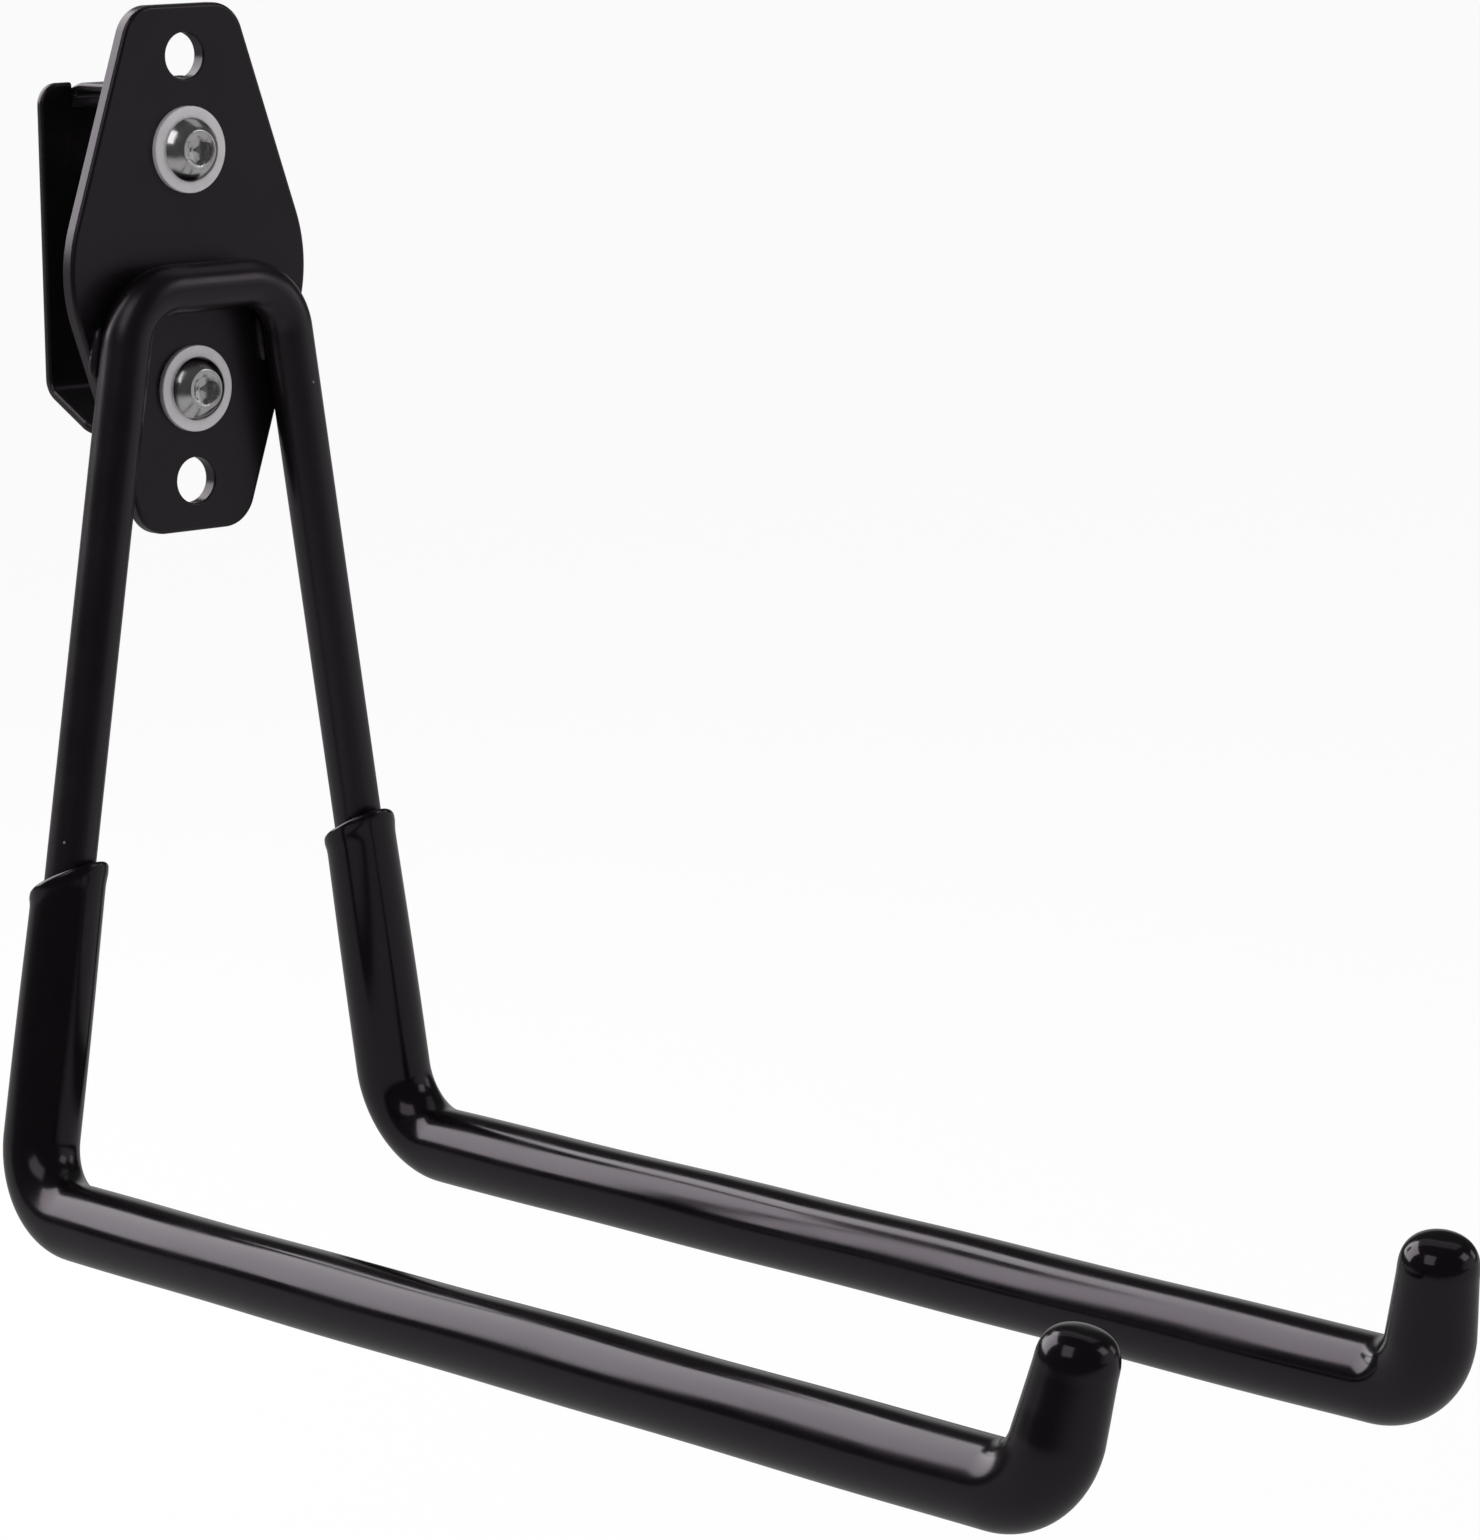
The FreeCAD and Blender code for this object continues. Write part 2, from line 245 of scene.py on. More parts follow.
class HookScrewSettings(PropertyGroup):
    """Sizes of the button-head screws and their washers."""
    spacing: size("Spacing", "Distance between the two screws", 38.5)
    diameter: size("Screw diameter", "Outer diameter of the thread", 6.0)
    clearance: size("Clearance", "Gap round the screw in the plate and washer", 0.3)
    length: size("Length", "Shank under the head", 8.0)
    end_chamfer: size("End chamfer", "Chamfer on the screw's end", 0.6)
    pitch: size("Pitch", "Pitch of the thread", 1.0)
    thread_depth: size("Thread depth", "Depth of the thread", 0.55)
    head_diameter: size("Head diameter", "Diameter of the head", 10.5)
    head_height: size("Head height", "Height of the head", 2.3)
    head_rim: size("Head rim", "Upright band at the head's foot", 0.35)
    crown: size("Crown", "Diameter of the flat crown", 6.4)
    socket: size("Socket", "Socket across its flats", 4.0)
    socket_depth: size("Socket depth", "Depth of the socket", 1.6)
    socket_mouth: size("Socket mouth", "Width of the bevel round the socket", 0.22)
    washer_diameter: size("Washer diameter", "Outer diameter of the washer", 14.0)
    washer_thickness: size("Washer thickness", "Thickness of the washer", 1.0)
    washer_round: size("Washer edge", "Rounding of the washer's front rim", 0.22)
    washer_burr: size("Washer burr", "Rounding of the washer's other rims", 0.08)


class HookClipSettings(PropertyGroup):
    """Edges and bend reliefs of the rail clip."""
    edge_round: size("Edge", "Rounding of the painted edges", 0.55)
    relief_side: size("Relief side", "Bend reliefs beside the clip's middle", 10.0)
    relief_back: size("Relief back", "Where the reliefs start behind the plate", 14.0)
    relief_open: size("Relief opening", "Width of the reliefs before paint closes them", 0.3)


class HookFinishSettings(PropertyGroup):
    """Colours and gloss of the finishes."""
    powder: colour("Powder coat", "Satin black powder coat", 0.0046, 0.0038, 0.0045)
    powder_rough: amount("Powder roughness", "Roughness of the powder coat", 0.31)
    powder_shine: amount("Powder shine", "Specular level of the powder coat", 0.66)
    vinyl: colour("Dip coating", "Glossy black vinyl", 0.0032, 0.0026, 0.0031)
    vinyl_rough: amount("Dip roughness", "Roughness of the dipped vinyl", 0.16)
    steel: colour("Screw steel", "Bright plated steel", 0.86, 0.84, 0.85)
    steel_rough: amount("Steel roughness", "Roughness of the screw heads", 0.18)
    zinc: colour("Washer zinc", "Dull zinc plate", 0.94, 0.91, 0.94)
    zinc_rough: amount("Zinc roughness", "Roughness of the washers", 0.42)
    zinc_metal: amount("Zinc metal", "Share of the washers' look that is bare metal", 0.5)
    gloss_tint: colour("Gloss tint", "Tint of both black finishes' reflections", 1.0, 0.87, 1.0)


class HookStageSettings(PropertyGroup):
    """Floor, lamps and surroundings."""
    floor_drop: size("Floor drop", "Floor below the hook's origin", 320.0)
    floor_size: size("Floor size", "Side of the square floor", 40000.0)
    floor_fade_start: size("Fade start", "Where the floor starts to darken in reflections", 450.0)
    floor_fade_end: size("Fade end", "Where the floor is as dark as the walls in reflections", 1000.0)
    floor_mirrored: amount("Mirrored floor", "Brightness of the floor in reflections", 0.34)
    floor: colour("Floor", "Pale floor", 0.82, 0.82, 0.82)
    softbox: amount("Softbox", "Brightness of the large softbox", 3.4)
    window: amount("Windows", "Brightness of the small strip lamps", 2.2)
    surround: amount("Surround", "Brightness of the studio's dark walls", 0.05)
    ambient: amount("Ambient", "Brightness of the even light from all round", 0.55)


def hook_sizes(context):
    """All settings groups of the scene in one tuple-like object."""
    groups = {name: getattr(context.scene, "hook_" + name) for name in SETTINGS}
    return namedtuple("Hook", SETTINGS)(**groups)


def unit(vector):
    """Vector of length one."""
    return vector / np.linalg.norm(vector)


def turning(axis, angles):
    """Rotation matrix about a unit axis for each angle: I + sin K + (1 - cos) K K, K the cross matrix."""
    cross = np.array([[0, -axis[2], axis[1]], [axis[2], 0, -axis[0]], [-axis[1], axis[0], 0]])
    sine = np.sin(angles)[:, None, None]
    cosine = np.cos(angles)[:, None, None]
    return np.eye(3) + sine * cross + (1 - cosine) * (cross @ cross)


def around(count):
    """Angles once round a circle, as one row."""
    return np.linspace(0, 2 * math.pi, count, endpoint=False)[None, :]


def bent_path(corners, bends):
    """Line through the corners, with a tangent arc of the given radius at each inner one.

    Arc points are centre + R(axis, angle) (start - centre). Each point carries the basis across, up
    and way, which only the arcs turn, so that a section carried along the path never twists.
    """
    way = unit(corners[1] - corners[0])
    across = unit(np.cross(way, SEED_WAY))
    basis = np.array([across, np.cross(way, across), way])
    points, bases = [corners[0][None]], [basis[None]]
    for before, corner, after, bend in zip(corners, corners[1:], corners[2:], bends):
        way_in, way_out = unit(corner - before), unit(after - corner)
        bend_angle = math.acos(way_in @ way_out)
        axis = unit(np.cross(way_in, way_out))
        start = corner - way_in * bend * math.tan(bend_angle / 2)
        centre = start + np.cross(axis, way_in) * bend
        turns = turning(axis, np.linspace(0, bend_angle, ARC_STATIONS))
        points.append(centre + turns @ (start - centre))
        bases.append(bases[-1][-1] @ turns.transpose(0, 2, 1))
    points.append(corners[-1][None])
    bases.append(bases[-1][-1][None])
    points, bases = np.concatenate(points), np.concatenate(bases)
    steps = np.linalg.norm(np.diff(points, axis=0), axis=1)
    lengths = np.concatenate([[0.0], np.cumsum(steps)])
    firsts = 1 + ARC_STATIONS * np.arange(len(bends))
    marks = np.stack([lengths[firsts], lengths[firsts + ARC_STATIONS - 1]], 1).ravel()
    return Path(points, bases, lengths, marks)


def along(path, lengths):
    """Places and bases of the path at any array of lengths; past its ends it runs on straight."""
    inside = np.clip(lengths, 0, path.lengths[-1])
    place = np.stack([np.interp(inside, path.lengths, axis) for axis in path.points.T], -1)
    entries = path.bases.reshape(len(path.bases), 9).T
    bases = np.stack([np.interp(inside, path.lengths, entry) for entry in entries], -1)
    bases = bases.reshape(*lengths.shape, 3, 3)
    return place + (lengths - inside)[..., None] * bases[..., 2, :], bases


def tube(path, lengths, radii, angles):
    """Point grid: place(length) + radius (cos(angle) across + sin(angle) up)."""
    lengths, radii, angles = np.broadcast_arrays(lengths, radii, angles)
    place, bases = along(path, lengths)
    outward = np.cos(angles)[..., None] * bases[..., 0, :] + np.sin(angles)[..., None] * bases[..., 1, :]
    return place + radii[..., None] * outward


def ring_faces(rings, columns, first=0, wrap=False):
    """Quads of a grid whose columns close round; wrap closes its rings too."""
    index = first + np.arange(rings * columns).reshape(rings, columns)
    if wrap:
        index = np.concatenate([index, index[:1]])
    near, far = index[:-1], index[1:]
    corners = [near, np.roll(near, -1, 1), np.roll(far, -1, 1), far]
    return np.stack(corners, -1).reshape(-1, 4).tolist()


def fan_faces(pole, ring):
    """Triangles from a pole to each side of a ring."""
    return np.stack([np.full(len(ring), pole), ring, np.roll(ring, -1)], -1).tolist()


def add_object(name, data):
    """Object with the given data, linked to the scene."""
    made = bpy.data.objects.new(name, data)
    bpy.context.scene.collection.objects.link(made)
    return made


def piece(name, points, faces, material, nodes, normals=None):
    """Mesh object of the hook: its faces point outwards, and it rides and replaces its nodes."""
    mesh = bpy.data.meshes.new(name)
    mesh.from_pydata(points.tolist(), [], faces)
    work = bmesh.new()
    work.from_mesh(mesh)
    bmesh.ops.recalc_face_normals(work, faces=work.faces)
    work.to_mesh(mesh)
    work.free()
    mesh.shade_smooth()
    if normals is not None:
        mesh.normals_split_custom_set_from_vertices(normals.tolist())
    mesh.materials.append(material)
    made = add_object(name, mesh)
    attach(made, BODY)
    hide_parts(*nodes)
    return made


def closed_rings(grid, first_pole, last_pole):
    """Points and faces of a grid of rings that a pole closes at each end."""
    rings, columns = grid.shape[:2]
    points = np.concatenate([grid.reshape(-1, 3), first_pole[None], last_pole[None]])
    ring = np.arange(columns)
    faces = ring_faces(rings, columns)
    faces += fan_faces(rings * columns, ring)
    faces += fan_faces(rings * columns + 1, ring + (rings - 1) * columns)
    return points, faces


def sharp_half_width(plate):
    """Half width at the unrounded side corner whose rounding leaves half the plate's width."""
    half = plate.width / 2
    for _ in range(SETTLING_ROUNDS):
        slope = math.atan((half - plate.end_width / 2) / (plate.height / 2))
        half = plate.width / 2 + plate.side_radius * (1 / math.cos(slope) - 1)
    return half


def leg_point(hook, side, z):
    """Point of a leg's centre line at height z: it splays out, leans back and meets the plate's side."""
    rod, plate = hook.rod, hook.plate
    splay, lean = math.tan(rod.leg_splay), math.tan(rod.leg_lean)
    half = sharp_half_width(plate)
    side_slope = (half - plate.end_width / 2) / (plate.height / 2)
    touch_z = (rod.run_length / 2 - rod.run_drop * splay - half) / (side_slope + splay)
    x = rod.run_length / 2 + (-rod.run_drop - z) * splay
    y = -plate.thickness - rod.diameter / 2 + (touch_z - z) * lean
    return np.array([side * x, y, z])


def side_corners(hook, side):
    """Sharp corners of the rod's centre line on one side: top, low, front and tip."""
    rod = hook.rod
    top = leg_point(hook, side, -rod.run_drop)
    low = leg_point(hook, side, -rod.run_drop - rod.leg_drop)
    front = low + np.array([0.0, -rod.arm_length, 0.0])
    rise = unit(np.array([-side * math.tan(rod.tip_lean_in), -math.tan(rod.tip_lean_out), 1.0]))
    return np.array([top, low, front, front + rise * rod.tip_length])


def rod_grid(hook):
    """Rod's rings from the left tip to the right one, with a chamfer at each end."""
    rod = hook.rod
    left, right = side_corners(hook, -1), side_corners(hook, 1)
    bends = [rod.tip_bend, rod.arm_bend, rod.run_bend]
    path = bent_path(np.concatenate([left[::-1], right]), bends + bends[::-1])
    total, radius, chamfer = path.lengths[-1], rod.diameter / 2, rod.end_chamfer
    lengths = np.linspace(chamfer, total - chamfer, int(total / RING_GAP))
    lengths = np.concatenate([[0.0], lengths, [total]])[:, None]
    radii = np.full(lengths.shape, radius)
    radii[[0, -1]] = radius - chamfer
    return tube(path, lengths, radii, around(ROD_AROUND)), path.points[0], path.points[-1]


def coating_grid(hook, side, rim_height):
    """Rings of the dipped coating, from the dome's pole over the arm to the rim and into its bore.

    The radius runs straight from corner to corner, with a slow wave
    waviness (sin(length / short + 2 angle) + sin(length / long - angle)) on top of it. The dome is the curve
    (r / R)^p + (h / R)^p = 1 turned round the path. The rim is a quarter circle behind a low bead, and
    every ring near it slides along the leg by -radius (N . outward) / (N . way), which tilts the rim
    into a plane of normal N, plus a small sag.
    """
    rod, coat = hook.rod, hook.coating
    top, low, front, tip = side_corners(hook, side)
    bare = rod.diameter / 2
    tip_radius = bare + coat.tip_thickness
    dome = tip - unit(tip - front) * (tip_radius - coat.dome_cover)
    leg_way = unit(top - low)
    rim = low + leg_way * (rim_height / leg_way[2])
    path = bent_path(np.array([rim, low, front, dome]), [rod.arm_bend, rod.tip_bend])
    total = path.lengths[-1]
    spare = 2 * (bare + coat.rim_thickness)
    stations = np.concatenate([[-spare], path.marks, [total]])
    thickness = np.array([coat.rim_thickness, coat.bend_thickness, coat.bend_thickness,
                          coat.arm_thickness, coat.arm_thickness, coat.tip_thickness])
    edge = coat.rim_round
    angles = around(COAT_AROUND)

    rise = np.linspace(math.pi / 2, 0, DOME_RINGS)[1:-1, None]
    lengths = np.linspace(total, edge, int(total / RING_GAP))[:, None]
    radii = bare + np.interp(lengths, stations, thickness)
    fade = np.clip((total - lengths) / tip_radius, 0, 1) * np.clip(lengths / (WAVE_START * edge), 0, 1)
    wave = np.sin(lengths / SHORT_WAVE + 2 * angles) + np.sin(lengths / LONG_WAVE - angles)
    bead = coat.rim_bead * np.exp(-((lengths - BEAD_MIDDLE * edge) / (BEAD_SPREAD * edge)) ** 2)
    skin = radii + bead + fade * coat.waviness * wave
    lip = np.linspace(0, math.pi / 2, CORNER_RINGS)[1:, None]
    rim_radius = radii[-1, 0] + bead[-1, 0]
    inner_end = total + tip_radius - coat.dome_cover
    inner = np.linspace(0, inner_end, int(total / RING_GAP / 2))[:, None]
    columns = np.ones_like(angles)
    power = 2 / coat.dome_square
    grid_lengths = np.concatenate([(total + tip_radius * np.sin(rise) ** power) * columns, lengths * columns,
                                   (edge - edge * np.sin(lip)) * columns, inner * columns])
    grid_radii = np.concatenate([tip_radius * np.cos(rise) ** power * columns, skin,
                                 (rim_radius - edge + edge * np.cos(lip)) * columns,
                                 np.full(inner.shape, bare + BORE_GAP) * columns])

    slope = np.array([0.0, math.sin(coat.rim_slope), math.cos(coat.rim_slope)])
    basis = path.bases[0]
    outward = np.cos(angles) * (slope @ basis[0]) + np.sin(angles) * (slope @ basis[1])
    sag_turn = angles - math.atan2(slope @ basis[1], slope @ basis[0])
    near = np.clip(1 - grid_lengths / RIM_REACH, 0, 1) ** 2
    slide = -grid_radii * outward / (slope @ basis[2]) + coat.rim_sag * np.sin(2 * sag_turn)
    grid = tube(path, grid_lengths + near * slide, grid_radii, angles)
    return grid, dome + unit(tip - front) * tip_radius, tip


def bead_grid(hook, side, outward):
    """Rings of a weld bead: radius (1 - (2 s / length)^4)^(1/2), with ripples across it."""
    rod, bead = hook.rod, hook.bead
    z = -rod.run_drop - bead.drop
    top, low = side_corners(hook, side)[:2]
    way = unit(low - top)
    middle = leg_point(hook, side, z)
    middle[0] += side * outward * bead.side
    middle[1] = -hook.plate.thickness - bead.stand
    path = bent_path(np.array([middle - way * bead.length / 2, middle + way * bead.length / 2]), [])
    part = np.cos(np.linspace(0, math.pi, BEAD_RINGS + 2))[1:-1, None]
    angles = around(BEAD_AROUND)
    radii = bead.radius * np.sqrt(1 - part ** 4)
    bow = RIPPLE_BOW * np.cos(angles)
    crest = np.abs(np.cos(part * bead.length / 2 * math.pi / bead.ripple_gap + bow))
    radii = radii * (1 - bead.ripple / bead.radius * (1 - crest))
    lengths = bead.length / 2 * (1 + part)
    return tube(path, lengths, radii, angles), middle + way * bead.length / 2, middle - way * bead.length / 2


def rounded_outline(corners, radii):
    """Points and outward normals of a closed outline in the XZ plane whose corners are arcs."""
    points, normals = [], []
    before, after = np.roll(corners, 1, 0), np.roll(corners, -1, 0)
    for first, corner, last, radius in zip(before, corners, after, radii):
        way_in, way_out = unit(corner - first), unit(last - corner)
        angle = math.acos(way_in @ way_out)
        start_normal = np.array([-way_in[1], way_in[0]])
        centre = corner - way_in * radius * math.tan(angle / 2) - start_normal * radius
        turns = np.linspace(0, angle, ARC_STATIONS)
        sine, cosine = np.sin(turns)[:, None], np.cos(turns)[:, None]
        normal = start_normal * cosine + way_in * sine
        points.append(centre + normal * radius)
        normals.append(normal)
    return np.concatenate(points), np.concatenate(normals)


def rim_profile(thickness, front_round, back_round):
    """Section of a sheet's rim, back to front: insets, depths and the turn of its normal to the front."""
    back = np.linspace(-math.pi / 2, 0, CORNER_RINGS)
    front = np.linspace(0, math.pi / 2, CORNER_RINGS)
    insets = np.concatenate([back_round * (1 - np.cos(back)), front_round * (1 - np.cos(front))])
    depths = np.concatenate([back_round * (1 + np.sin(back)), thickness - front_round * (1 - np.sin(front))])
    return insets[:, None], depths[:, None], np.concatenate([back, front])[:, None]


def rim_strip(outline, normals, profile):
    """Strip of a rim: outline - inset normal, at -Y = depth; its normals turn with the section."""
    insets, depths, turns = profile
    flat = outline[None] - insets[..., None] * normals[None]
    depth = -depths * np.ones(len(outline))
    grid = np.stack([flat[..., 0], depth, flat[..., 1]], -1)
    across = np.cos(turns)[..., None] * normals[None]
    front = -np.sin(turns) * np.ones(len(outline))
    return grid, np.stack([across[..., 0], front, across[..., 1]], -1)


def plate_surface(hook):
    """Points, faces and normals of the plate: a rim strip for its outline and each hole, and two faces."""
    plate, screw = hook.plate, hook.screw
    half, end, sharp = plate.height / 2, plate.end_width / 2, sharp_half_width(plate)
    corners = np.array([[-end, half], [end, half], [sharp, 0], [end, -half], [-end, -half], [-sharp, 0]])
    radii = [plate.end_radius, plate.end_radius, plate.side_radius] * 2
    outer = rim_profile(plate.thickness, plate.edge_round, plate.back_round)
    inner = rim_profile(plate.thickness, plate.hole_round, plate.back_round)
    strips = [rim_strip(*rounded_outline(corners, radii), outer)]
    wall_z = half - plate.hole_from_end
    screw_hole = screw.diameter + 2 * screw.clearance
    for diameter, z in ((plate.hole_diameter, wall_z), (screw_hole, screw.spacing / 2),
                        (screw_hole, -screw.spacing / 2), (plate.hole_diameter, -wall_z)):
        angles = around(ROUND_AROUND)[0]
        ring = np.stack([np.cos(angles), np.sin(angles)], -1)
        strips.append(rim_strip(ring * diameter / 2 + [0, z], -ring, inner))
    points, normals, faces, rims = [], [], [], []
    first = 0
    for grid, turned in strips:
        rings, columns = grid.shape[:2]
        points.append(grid.reshape(-1, 3))
        normals.append(turned.reshape(-1, 3))
        faces += ring_faces(rings, columns, first)
        ring = np.arange(columns)
        rims.append((first + ring, first + (rings - 1) * columns + ring))
        first += rings * columns
    points, normals = np.concatenate(points), np.concatenate(normals)
    for end_ring in (0, 1):
        indices = np.concatenate([rim[end_ring] for rim in rims])
        loops = [[Vector((x, z)) for x, y, z in points[rim[end_ring]].tolist()] for rim in rims]
        faces += [[int(indices[corner]) for corner in face] for face in tessellate_polygon(loops)]
    return points, faces, normals


def screw_grid(hook, z):
    """Rings of a button-head screw, from the socket's middle over the head and down the thread.

    A ring's radius is (1 - h) circle + h hexagon, the hexagon being apothem / cos(angle to its nearest
    flat's middle). The dome is the arc through the crown's edge and the head's rim. The thread is the
    radius less depth times a triangle wave of height / pitch + angle / 2 pi, whose crests are cut flat.
    """
    screw = hook.screw
    angles = around(ROUND_AROUND)
    apothem, mouth, top = screw.socket / 2, screw.socket_mouth, screw.head_height
    hexagon = apothem / np.cos(np.mod(angles, math.pi / 3) - math.pi / 6)
    corner = apothem / math.cos(math.pi / 6)
    floor = top - screw.socket_depth
    radii, heights = [], []

    def add(radius, height, hexness=0.0, hex_scale=1.0):
        """One ring of the head."""
        radii.append((1 - hexness) * radius + hexness * hex_scale * hexagon)
        heights.append(np.full_like(angles, height))

    for part in DISH_PARTS:
        add(0, floor - SOCKET_DISH * (1 - part), 1.0, part)
    for part in FLAT_PARTS:
        add(0, floor + (screw.socket_depth - mouth) * part, 1.0)
    for part in MOUTH_PARTS:
        add(corner + mouth, top - mouth * (1 - part), 1 - part)
    crown, rim, shank = screw.crown / 2, screw.head_diameter / 2, screw.diameter / 2
    add(crown - CROWN_EDGE, top)
    centre = (rim ** 2 + screw.head_rim ** 2 - crown ** 2 - top ** 2) / (2 * (screw.head_rim - top))
    dome_radius = math.hypot(crown, top - centre)
    start, stop = math.atan2(crown, top - centre), math.atan2(rim, screw.head_rim - centre)
    for angle in np.linspace(start, stop, DOME_RINGS):
        add(dome_radius * math.sin(angle), centre + dome_radius * math.cos(angle))
    add(rim, screw.head_rim - (top - screw.head_rim) * SHOULDER)
    add(rim - FOOT_TAPER, FOOT_HEIGHT)
    add(rim - FOOT_EDGE, 0.0)
    add(shank + NECK, 0.0)
    add(shank, -NECK)
    for height in -np.arange(THREAD_START, screw.length, screw.pitch / THREAD_RINGS):
        wave = np.abs(2 * np.mod(height / screw.pitch + angles / (2 * math.pi), 1) - 1)
        groove = screw.thread_depth * np.clip(THREAD_SLOPE * wave - THREAD_LAND, 0, 1)
        tip = np.clip(1 - (screw.length + height) / screw.end_chamfer, 0, 1) * screw.end_chamfer
        add(shank - groove - tip * (1 - TIP_WAVE * wave), height)
    add(shank - screw.thread_depth - END_INSET, -screw.length)
    radii, heights = np.concatenate(radii), np.concatenate(heights)
    seat = -hook.plate.thickness - screw.washer_thickness
    grid = np.stack([radii * np.sin(angles), seat - heights, z + radii * np.cos(angles)], -1)
    return grid, np.array([0, seat - floor + SOCKET_POINT, z]), np.array([0, seat + screw.length, z])


def washer_grid(hook, z):
    """Rings of a washer: a rounded rectangle turned round the screw's axis."""
    screw = hook.screw
    inner = screw.diameter / 2 + screw.clearance
    outer = screw.washer_diameter / 2
    thick = screw.washer_thickness
    turns = np.linspace(0, math.pi / 2, CORNER_RINGS)
    corners = ((outer, 0.0, screw.washer_burr, -math.pi / 2), (outer, thick, screw.washer_round, 0.0),
               (inner, thick, screw.washer_burr, math.pi / 2), (inner, 0.0, screw.washer_burr, math.pi))
    radii, heights = [], []
    for radius, height, edge, start in corners:
        towards = 1 if radius == outer else -1
        rising = 1 if height else -1
        radii.append(radius - towards * edge + edge * np.cos(start + turns))
        heights.append(height - rising * edge + edge * np.sin(start + turns))
    radii, heights = np.concatenate(radii)[:, None], np.concatenate(heights)[:, None]
    angles = around(ROUND_AROUND)
    front = -hook.plate.thickness
    return np.stack([radii * np.sin(angles), front - heights + 0 * angles, z + radii * np.cos(angles)], -1)


def add_node(tree, kind, inputs=None, **settings):
    """Shader node with its settings; an input is a value, or a socket that is linked to it."""
    made = tree.nodes.new(kind)
    for key, value in settings.items():
        setattr(made, key, value)
    for key, value in (inputs or {}).items():
        if isinstance(value, bpy.types.NodeSocket):
            tree.links.new(value, made.inputs[key])
        else:
            made.inputs[key].default_value = value
    return made


def finish_material(name):
    """New material: its node tree, its principled shader and its Object coordinates."""
    material = bpy.data.materials.new(name)
    material.use_nodes = True
    tree = material.node_tree
    shader = tree.nodes["Principled BSDF"]
    return material, tree, shader, add_node(tree, "ShaderNodeTexCoord").outputs["Object"]


def bare_material(name):
    """New material with an empty output: its node tree and its Object coordinates."""
    material, tree, shader, place = finish_material(name)
    tree.nodes.remove(shader)
    return material, tree, place


def number(tree, operation, first, second):
    """Result of an operation on two numbers."""
    return add_node(tree, "ShaderNodeMath", {0: first, 1: second}, operation=operation).outputs[0]


def measure(tree, operation, first, second):
    """Number that an operation on two vectors gives."""
    vectors = {0: first, 1: second}
    return add_node(tree, "ShaderNodeVectorMath", vectors, operation=operation).outputs["Value"]


def largest(tree, values):
    """Largest of several numbers."""
    most, *others = values
    for value in others:
        most = number(tree, "MAXIMUM", most, value)
    return most


def grain(tree, place, per_metre, detail=2.0):
    """Noise of so many lumps a metre."""
    inputs = {"Vector": place, "Scale": per_metre, "Detail": detail}
    return add_node(tree, "ShaderNodeTexNoise", inputs).outputs["Fac"]


def spread(tree, value, low, high, from_low=0.3, from_high=0.7, kind="LINEAR"):
    """Value remapped to the range low to high."""
    inputs = {"Value": value, "From Min": from_low, "From Max": from_high, "To Min": low, "To Max": high}
    return add_node(tree, "ShaderNodeMapRange", inputs, interpolation_type=kind).outputs["Result"]


def two_tones(tree, factor, first, second):
    """Blend of two colours, each a plain colour or a socket."""
    blend = add_node(tree, "ShaderNodeMix", data_type="RGBA")
    tree.links.new(factor, blend.inputs["Factor"])
    shown = [socket for socket in blend.inputs if socket.enabled and socket.name in ("A", "B")]
    for socket, tone in zip(shown, (first, second)):
        if isinstance(tone, bpy.types.NodeSocket):
            tree.links.new(tone, socket)
        else:
            socket.default_value = (*tone, 1.0)
    return next(socket for socket in blend.outputs if socket.enabled)


def relief(tree, height, depth, strength, below=None):
    """Bump of the given depth in metres, on top of another bump if there is one."""
    inputs = {"Height": height, "Distance": depth, "Strength": strength}
    if below is not None:
        inputs["Normal"] = below
    return add_node(tree, "ShaderNodeBump", inputs).outputs["Normal"]


def mottled(tree, factor, tone, dark, light):
    """Colour that varies from its darker to its lighter share."""
    return two_tones(tree, factor, *(tuple(value * share for value in tone) for share in (dark, light)))


def varied(tree, factor, value, low, high):
    """Number that varies from its lower to its higher share."""
    return spread(tree, factor, value * low, value * high)


def round_spot(tree, distance, radius, core):
    """1 up to the core's share of the radius, and down to 0 at the radius."""
    return spread(tree, distance, 1.0, 0.0, radius * core, radius)


def placed_dust(tree, place):
    """Round dust specks at their own places on the legs: 1 inside and 0 outside."""
    aways = [measure(tree, "DISTANCE", place, Vector(spot) * MM) for spot in DUST]
    return largest(tree, [round_spot(tree, away, DUST_RADIUS, DUST_CORE) for away in aways])


def pits(tree, place, per_metre, radius):
    """Small round pits, one in each cell that a slow noise picks out: 1 inside and 0 outside."""
    cells = add_node(tree, "ShaderNodeTexVoronoi", {"Vector": place, "Scale": per_metre})
    spot = round_spot(tree, cells.outputs["Distance"], radius * per_metre, PIT_CORE)
    picked = spread(tree, grain(tree, place, per_metre / 3, detail=0.0), 0.0, 1.0, *PIT_PICK)
    return number(tree, "MULTIPLY", spot, picked)


def finished(material, tone, rough, normal):
    """Material whose colour, roughness and normal come from the three sockets."""
    tree = material.node_tree
    for name, socket in (("Base Color", tone), ("Roughness", rough), ("Normal", normal)):
        tree.links.new(socket, tree.nodes["Principled BSDF"].inputs[name])
    return material


